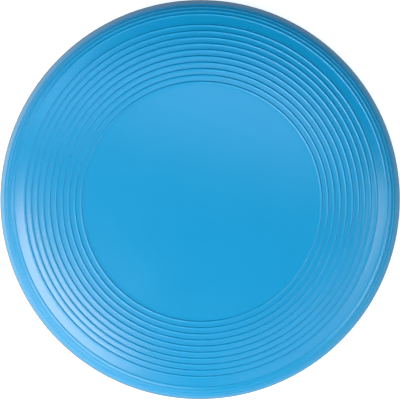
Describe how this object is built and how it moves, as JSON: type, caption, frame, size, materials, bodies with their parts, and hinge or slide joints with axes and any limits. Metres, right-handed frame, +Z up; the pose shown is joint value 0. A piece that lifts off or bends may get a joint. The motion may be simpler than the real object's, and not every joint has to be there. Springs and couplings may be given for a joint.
{
  "type": "flying disc",
  "caption": "Round flying disc moulded in one piece: a smooth shallow-domed plate, concentric ribs over the crown and shoulder, and a curled rim with a flat resting edge.",
  "frame": {"origin": "middle of the circle that the rim rests on, at the lowest point of the disc", "axes": "+Z up along the axis of the disc, from the open underside to the domed top; the disc is round about Z, so X and Y are free"},
  "size_m": [0.21, 0.21, 0.023],
  "materials": {
    "shell": "satin moulded polypropylene, coloured through"
  },
  "bodies": {
    "root": {"disc": "shell"}
  },
  "joints": []
}
